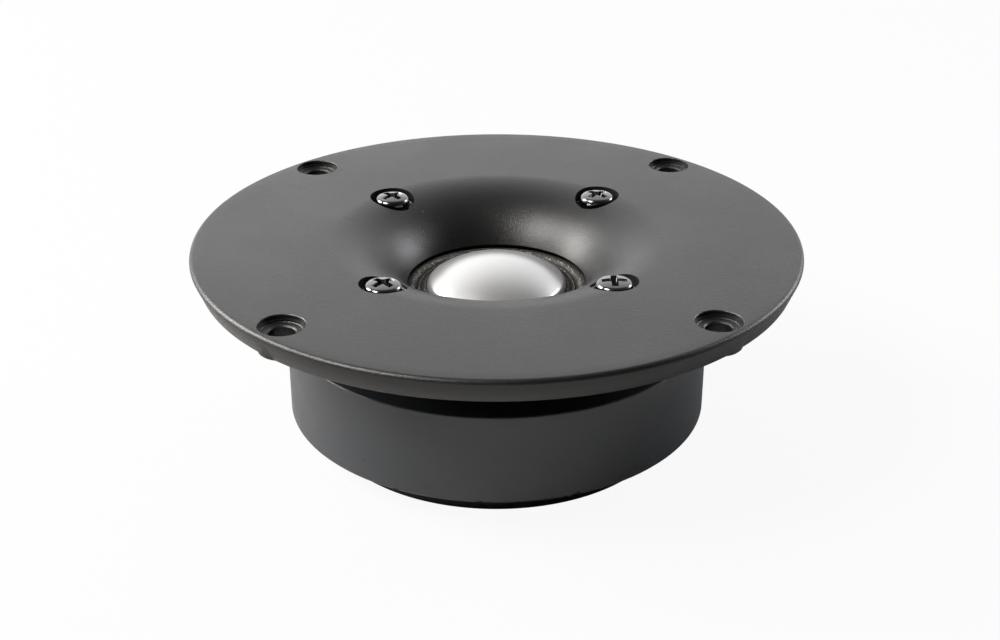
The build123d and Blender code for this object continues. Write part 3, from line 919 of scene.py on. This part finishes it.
def build_coil():
    """Rolled foil former with its lapped seam, and the winding's turns."""
    top = DOME_Z0
    former = ring("foil_former", [(FORMER_R, FORMER_Z0), (FORMER_OUT_R, FORMER_Z0), (FORMER_OUT_R, top),
                                  (FORMER_R, top)], 160)
    slit = brick("slit", -0.12, 0.12, -FORMER_R - 1, -FORMER_R + 1, FORMER_Z0 - 1, top - 0.4)
    combine(former, slit, "DIFFERENCE")
    smooth(former, 30)
    finish_piece(former, "voice_coil_former")
    turns = 14
    pitch = (COIL_Z1 - COIL_Z0) / turns
    outline = [(FORMER_OUT_R, COIL_Z1), (FORMER_OUT_R + 0.2, COIL_Z1)]
    for i in range(turns):
        outline += arc(FORMER_OUT_R + 0.3 - pitch / 2, COIL_Z1 - (i + 0.5) * pitch, pitch / 2, 75, -75, 4)
    outline += [(FORMER_OUT_R + 0.2, COIL_Z0), (FORMER_OUT_R, COIL_Z0)]
    winding = ring("wound_turns", outline, 128)
    smooth(winding, 50)
    finish_piece(winding, "voice_coil_winding")


def build_board():
    """Laminate strip with clipped, softened corners and punched holes."""
    board = brick("laminate_strip", -BOARD_HALF, BOARD_HALF, BOARD_Y0, BOARD_Y1, BOARD_Z0, BOARD_Z1)
    take(board)
    bpy.ops.object.mode_set(mode="EDIT")
    bpy.ops.mesh.select_mode(type="EDGE")
    bpy.ops.mesh.select_all(action="DESELECT")
    bpy.ops.object.mode_set(mode="OBJECT")
    for edge in board.data.edges:
        a, b = (board.data.vertices[i].co for i in edge.vertices)
        edge.select = abs(a.z - b.z) > 0.5 * MM
    bpy.ops.object.mode_set(mode="EDIT")
    bpy.ops.mesh.bevel(offset=1.3 * MM, segments=4, affect="EDGES")
    bpy.ops.object.mode_set(mode="OBJECT")
    holes = []
    for name, radius, places in (("screw_holes", 1.2, both_sides(POST_X, POST_Y)),
                                 ("rivet_holes", RIVET_R, both_sides(LEAD_X, RIVET_Y))):
        holes.append(copies(drill(name, radius, BOARD_Z0, BOARD_Z1), places))
    combine(board, joined("holes", holes), "DIFFERENCE")
    soften(board, 0.08, 2, 40)
    smooth(board, 30)
    finish_piece(board, "terminal_board")


def build_blade(node, x, width):
    """Stamped blade: wide riveted foot, shoulders, tapered tip and a locking hole."""
    foot = 2.4
    half = width / 2
    shoulder = [(foot, BOARD_Y1 - 0.3), (half + 0.05, BOARD_Y1)] if half < foot - 0.1 else [(foot, BOARD_Y1)]
    edge = [(foot - 0.5, 33.8), (foot, 34.3)] + shoulder
    edge += [(half, BOARD_Y1 + 0.3), (half, TIP_Y - 1.0), (half - 0.35, TIP_Y - 0.3), (half - 0.85, TIP_Y)]
    around = edge + [(-u, v) for u, v in reversed(edge)]
    blade = draw_chain(node + "_blade", [(x + u, v, BLADE_Z0) for u, v in around])
    bpy.ops.mesh.edge_face_add()
    bpy.ops.mesh.select_all(action="SELECT")
    bpy.ops.mesh.extrude_region_move(TRANSFORM_OT_translate={"value": (0, 0, BLADE * MM)})
    weld()
    bpy.ops.object.mode_set(mode="OBJECT")
    holes = []
    for name, radius, y in (("rivet_hole", RIVET_R, RIVET_Y), ("lock_hole", 0.7, TIP_Y - 3.2)):
        hole = drill(name, radius, BLADE_Z0, BOARD_Z0)
        hole.location = (x * MM, y * MM, 0)
        holes.append(settle(hole))
    combine(blade, joined("holes", holes), "DIFFERENCE")
    soften(blade, 0.12, 3, 40)
    smooth(blade, 30)
    finish_piece(blade, node)


def build_rivets():
    """Tubular rivets, rolled over at both ends."""
    low = BLADE_Z0
    high = BOARD_Z1
    bore = 0.6
    head = [(bore, high + 0.25), (0.75, high + 0.4), (1.5, high + 0.36), (1.68, high + 0.2), (1.7, high)]
    rolled = arc(1.25, low - 0.02, 0.38, 0, -180, 8)[1:]
    rivet = ring("rolled_rivets", head + [(RIVET_R, high), (RIVET_R, low), (1.63, low)] + rolled +
                 [(bore + 0.02, low + 0.5), (bore, low + 0.9)], 48)
    smooth(rivet, 40)
    finish_piece(copies(rivet, both_sides(LEAD_X, RIVET_Y)), "terminal_rivets")


def build_board_screws():
    """Self-tapping pan heads under the board, with cross recess and a coarse thread."""
    head_h = 1.3
    thread_r = 0.85
    core_r = 0.62
    pitch = 0.7
    head = [(0, head_h)] + arc(thread_r, head_h - 0.95, 0.95, 90, 12, 8)
    head += [(1.9, 0.3), (1.88, 0.05), (1.8, 0), (thread_r, 0)]
    shank = [(thread_r, -BOARD_THICK)]
    for i in range(4):
        z = -BOARD_THICK - 0.25 - i * pitch
        shank += [(core_r, z), (core_r, z - 0.15), (thread_r, z - 0.33), (thread_r, z - 0.38)]
    shank += [(core_r, -4.55), (0.25, -4.8), (0, -4.8)]
    screw = lathe("board_pan_heads", head + shank, 40)
    combine(screw, cross_recess("small_recess", head_h, 2.3, 0.5, 0.4, 0.7), "DIFFERENCE")
    soften(screw, 0.04, 1, 40)
    smooth(screw, 40)
    screw.rotation_euler = (math.pi, 0, math.radians(20))
    screw.location = (0, 0, BOARD_Z0 * MM)
    settle(screw)
    finish_piece(copies(screw, both_sides(POST_X, POST_Y, 0, 35)), "board_screws")


def tube_along(name, points, radius):
    """A round bar along a chain of points, from a bevelled curve turned into a mesh."""
    nothing_selected()
    bpy.ops.curve.primitive_nurbs_path_add(location=(0, 0, 0))
    curve = bpy.context.active_object
    curve.data.splines.clear()
    line = curve.data.splines.new("POLY")
    line.points.add(len(points) - 1)
    for spot, (x, y, z) in zip(line.points, points):
        spot.co = (x * MM, y * MM, z * MM, 1)
    curve.data.bevel_depth = radius * MM
    curve.data.bevel_resolution = 2
    curve.data.use_fill_caps = True
    take(curve)
    bpy.ops.object.convert(target="MESH")
    piece = named(name)
    bpy.ops.object.mode_set(mode="EDIT")
    weld()
    bpy.ops.object.mode_set(mode="OBJECT")
    return piece


def lead_centre(x):
    """Centre line of one lead: up the former, over the top plate and down to its solder joint."""
    y = math.sqrt((FORMER_OUT_R + 0.25) ** 2 - LEAD_X ** 2)
    bend = 1.0
    line = [(x, y, COIL_Z1 + 0.05), (x, y, LEAD_Z - bend)]
    for i in range(1, 7):
        a = math.radians(15 * i)
        line.append((x, y + bend - bend * math.cos(a), LEAD_Z - bend + bend * math.sin(a)))
    start = y + bend
    end = RIVET_Y - 3.4
    steps = 24
    line += [(x, start + (end - start) * i / steps, LEAD_Z) for i in range(1, steps + 1)]
    return line


def build_lead(node, x):
    """Flexible lead of three strands twisted together."""
    strands = []
    centre = lead_centre(x)
    for k in range(3):
        points = []
        run = 0.0
        for i, (px, py, pz) in enumerate(centre):
            if i:
                run += math.dist((px, py, pz), centre[i - 1])
            a = FULL_TURN * (run / 1.9 + k / 3)
            aside = STRAND_OFF * math.sin(a)
            upright = i < 2
            points.append((px + STRAND_OFF * math.cos(a), py + (aside if upright else 0),
                           pz + (0 if upright else aside)))
        strands.append(tube_along("strand", points, STRAND_R))
    lead = joined(node + "_strands", strands)
    smooth(lead, 60)
    finish_piece(lead, node, ((0, (COLLAR_R - 9.0) * MM, 0), (0, (FORMER_R + 1.2) * MM, 0)))


def build_sleeves():
    """Woven sleeves over the leads, ribbed by their braid."""
    half = 5.0
    bore = 0.2
    wall_r = 0.40
    ribs = 28
    outline = [(bore, half), (wall_r, half)]
    for i in range(ribs):
        z = half - 2 * half * i / ribs
        outline += [(wall_r + 0.05, z - 0.1), (wall_r + 0.015, z - 0.28)]
    outline += [(wall_r, -half), (bore, -half)]
    sleeve = ring("braided_sleeves", outline, 24)
    sleeve.rotation_euler = (math.pi / 2, 0, 0)
    sleeve.location = (0, SLEEVE_Y * MM, LEAD_Z * MM)
    settle(sleeve)
    smooth(sleeve, 60)
    finish_piece(copies(sleeve, both_sides(LEAD_X, 0)), "lead_sleeves")


def build_solder():
    """Low fillets of solder over the lead ends, uneven at the foot."""
    low = BLADE_Z0
    outline = [(0, low - 0.85), (0.22, low - 0.8), (0.42, low - 0.62), (0.58, low - 0.36), (0.72, low - 0.16),
               (0.88, low - 0.03), (0.9, low), (0, low)]
    joint = lathe("solder_fillets", outline, 40)
    take(joint)
    bpy.ops.object.mode_set(mode="EDIT")
    bpy.ops.mesh.select_all(action="SELECT")
    bpy.ops.transform.resize(value=(0.93, 1.0, 1.0))
    bpy.ops.object.mode_set(mode="OBJECT")
    smooth(joint, 60)
    finish_piece(copies(joint, both_sides(LEAD_X, SOLDER_Y, 10, 140)), "solder_joints")


def cross_recess(name, top_z, span, width, core_r, depth):
    """Tapered cross with a conical middle, as the driver's tip leaves it."""
    wings = []
    for turn, spare in ((0, 0.80), (90, 0.92)):
        nothing_selected()
        bpy.ops.mesh.primitive_cube_add(size=1, location=(0, 0, (top_z - depth / 2) * MM))
        wing = named("wing")
        bpy.ops.transform.resize(value=(span * MM, width * MM, (depth + spare) * MM))
        settle(wing)
        narrow(wing, 0.50, 0.62)
        wing.rotation_euler = (0, 0, math.radians(turn))
        wings.append(settle(wing))
    core = lathe(name, [(0, top_z + 0.6), (core_r * 1.12, top_z + 0.6), (core_r, top_z),
                        (core_r * 0.55, top_z - depth), (0, top_z - depth - 0.25)], 32)
    combine(core, wings[0], "UNION")
    return combine(core, wings[1], "UNION")


def build_screws():
    """Pan-head screws with a cross recess and a rolled thread, modelled once and set in their pockets."""
    crown = 10.15
    lean = 14.0
    sine = math.sin(math.radians(lean))
    cosine = math.cos(math.radians(lean))
    shoulder = (HEAD_R - crown * sine) / (1 - sine)
    shoulder_z = HEAD_H - crown + (crown - shoulder) * cosine
    head = [(0, HEAD_H)] + arc(0, HEAD_H - crown, crown, 90, 90 - lean, 6)[1:-1]
    head += arc(HEAD_R - shoulder, shoulder_z, shoulder, 90 - lean, 0, 8)
    head += [(HEAD_R, 0.12), (HEAD_R - 0.12, 0), (SCREW_R, 0), (SCREW_R, -0.5)]
    pitch = 0.6
    core_r = SCREW_R - 0.32
    thread = []
    for i in range(int((SCREW_LENGTH - 1.2) / pitch)):
        z = -0.6 - i * pitch
        thread += [(SCREW_R, z), (SCREW_R, z - 0.07), (core_r, z - 0.30), (core_r, z - 0.37)]
    shank = thread + [(core_r, -SCREW_LENGTH + 0.35), (core_r - 0.3, -SCREW_LENGTH), (0, -SCREW_LENGTH)]
    screw = lathe("pan_head_screws", head + shank, 48)
    combine(screw, cross_recess("recess", HEAD_H, 4.7, 1.2, 0.95, 1.5), "DIFFERENCE")
    soften(screw, 0.07, 2, 40)
    smooth(screw, 40)
    screw.location = (0, 0, POCKET_FLOOR_Z * MM)
    settle(screw)
    left_at = (45, 45, 45, 0)
    places = [(x, y, turn) for (x, y, _), turn in zip(four_round(SCREW_RING_R), left_at)]
    finish_piece(copies(screw, places), "assembly_screws")


def narrow(piece, share_x, share_y):
    """Taper a block towards its lower end."""
    low = min(v.co.z for v in piece.data.vertices)
    take(piece)
    bpy.ops.object.mode_set(mode="EDIT")
    bpy.ops.mesh.select_all(action="DESELECT")
    bpy.ops.object.mode_set(mode="OBJECT")
    for vertex in piece.data.vertices:
        vertex.select = vertex.co.z < low + 0.01 * MM
    bpy.ops.object.mode_set(mode="EDIT")
    bpy.ops.transform.resize(value=(share_x, share_y, 1), center_override=(0, 0, 0))
    bpy.ops.object.mode_set(mode="OBJECT")


# ------------------------------------------------------------------ camera, light, floor

LENS = 57.2
CAMERA_TURN = -1.21          # degrees about Z
CAMERA_BACK = 250.3
CAMERA_SIDE = 0.57
CAMERA_UP = 112.42
CAMERA_TILT = 26.39          # degrees below level
LIGHT_AWAY = 0.9             # metres from the tweeter to each softbox
FLOOR_LIFT = 0.93            # share of plain white in the floor as the camera sees it


def build_camera():
    """Camera in front of the faceplate, looking down at it."""
    data = bpy.data.cameras.new("front_camera")
    data.lens = LENS
    data.sensor_width = 36.0
    data.clip_start = 0.01
    data.clip_end = 50.0
    camera = bpy.data.objects.new("front_camera", data)
    bpy.context.scene.collection.objects.link(camera)
    turn = Matrix.Rotation(math.radians(CAMERA_TURN), 4, "Z")
    place = Matrix.Translation((CAMERA_SIDE * MM, -CAMERA_BACK * MM, CAMERA_UP * MM))
    tilt = Matrix.Rotation(math.radians(90 - CAMERA_TILT), 4, "X")
    camera.matrix_world = turn @ place @ tilt
    bpy.context.scene.camera = camera


def build_world():
    """White backdrop behind and beside the tweeter, dim overhead and on the viewer's side."""
    world = bpy.data.worlds.new("studio")
    bpy.context.scene.world = world
    world.use_nodes = True
    tree = world.node_tree
    tree.nodes.clear()
    x, y, z = split(tree, add(tree, "ShaderNodeTexCoord").outputs["Generated"])
    height = maths(tree, "ARCTAN2", z, y)
    overhead = remap(tree, height, math.radians(42), math.radians(82), 1.0, 0.11, "SMOOTHSTEP")
    back = maths(tree, "MULTIPLY", remap(tree, height, math.radians(12), math.radians(45), 2.00, 1.36),
                 remap(tree, y, -0.6, 0.0, 0.35, 1.0))
    sideways = remap(tree, x, -0.3, 0.3, 1.16, 0.86)
    light = add(tree, "ShaderNodeBackground")
    level = maths(tree, "MULTIPLY", maths(tree, "MULTIPLY", back, overhead), sideways)
    tree.links.new(level, light.inputs["Strength"])
    plain = add(tree, "ShaderNodeBackground", Color=(1.0, 1.0, 1.0, 1.0), Strength=1.0)
    pick = add(tree, "ShaderNodeMixShader")
    path = add(tree, "ShaderNodeLightPath")
    tree.links.new(path.outputs["Is Camera Ray"], pick.inputs[0])
    tree.links.new(light.outputs[0], pick.inputs[1])
    tree.links.new(plain.outputs[0], pick.inputs[2])
    output = add(tree, "ShaderNodeOutputWorld")
    tree.links.new(pick.outputs[0], output.inputs["Surface"])


def build_floor():
    """Pale floor under the back plate."""
    nothing_selected()
    bpy.ops.mesh.primitive_plane_add(size=12, location=(0, 0, BACK_Z0 * MM))
    floor = named("floor")
    settle(floor)
    f = Finish("pale_floor", Roughness=0.9)
    mottle = noise(f.tree, f.where, 6.0)
    f.feed(blend_colour(f.tree, mottle, (0.42, 0.42, 0.42), (0.45, 0.45, 0.45)), "Base Color")
    sheen = add(f.tree, "ShaderNodeEmission", Strength=1.0)
    seen = add(f.tree, "ShaderNodeLightPath").outputs["Is Camera Ray"]
    share = maths(f.tree, "MULTIPLY", seen, FLOOR_LIFT)
    pick = add(f.tree, "ShaderNodeMixShader")
    f.link(share, pick.inputs[0])
    f.link(f.shader.outputs[0], pick.inputs[1])
    f.link(sheen.outputs[0], pick.inputs[2])
    f.link(pick.outputs[0], f.output.inputs["Surface"])
    floor.data.materials.append(f.material)


def softbox(name, direction, along, size, radiance, colour):
    """A soft area light that faces the tweeter, its longer side laid along a given way; size in metres."""
    data = bpy.data.lights.new(name, "AREA")
    data.shape = "RECTANGLE"
    data.size, data.size_y = size
    data.energy = radiance * math.pi * size[0] * size[1]
    data.color = colour
    lamp = bpy.data.objects.new(name, data)
    bpy.context.scene.collection.objects.link(lamp)
    away = Vector(direction).normalized()
    across = away.cross(Vector(along)).normalized()
    turned = Matrix((across.cross(away), across, away)).transposed().to_4x4()
    lamp.matrix_world = Matrix.Translation(away * LIGHT_AWAY) @ turned


def build_lights():
    """Two softboxes on the left, one low and one high towards the viewer, and a weaker one on the right."""
    warm = (1.0, 0.97, 0.93)
    softbox("left_light", (-0.85, 0.28, 0.44), (0.0, 0.3, 1.0), (0.44, 0.40), 19.5, warm)
    softbox("upper_light", (-0.60, -0.30, 0.74), (0.3, 0.5, 0.7), (0.32, 0.30), 29.0, warm)
    softbox("right_light", (0.80, 0.47, 0.37), (0.0, 0.4, 1.0), (0.28, 0.28), 10.5, (0.97, 0.98, 1.0))


build_camera()
build_world()
build_floor()
build_lights()
build_faceplate()
build_dome()
build_surround()
build_magnet()
build_plates()
build_screws()
build_pole()
build_pad()
build_carrier()
build_coil()
build_board()
build_blade("terminal_positive", -LEAD_X, 4.8)
build_blade("terminal_negative", LEAD_X, 2.8)
build_rivets()
build_board_screws()
build_lead("lead_wire_positive", -LEAD_X)
build_lead("lead_wire_negative", LEAD_X)
build_sleeves()
build_solder()
bpy.context.scene.view_settings.view_transform = "Standard"
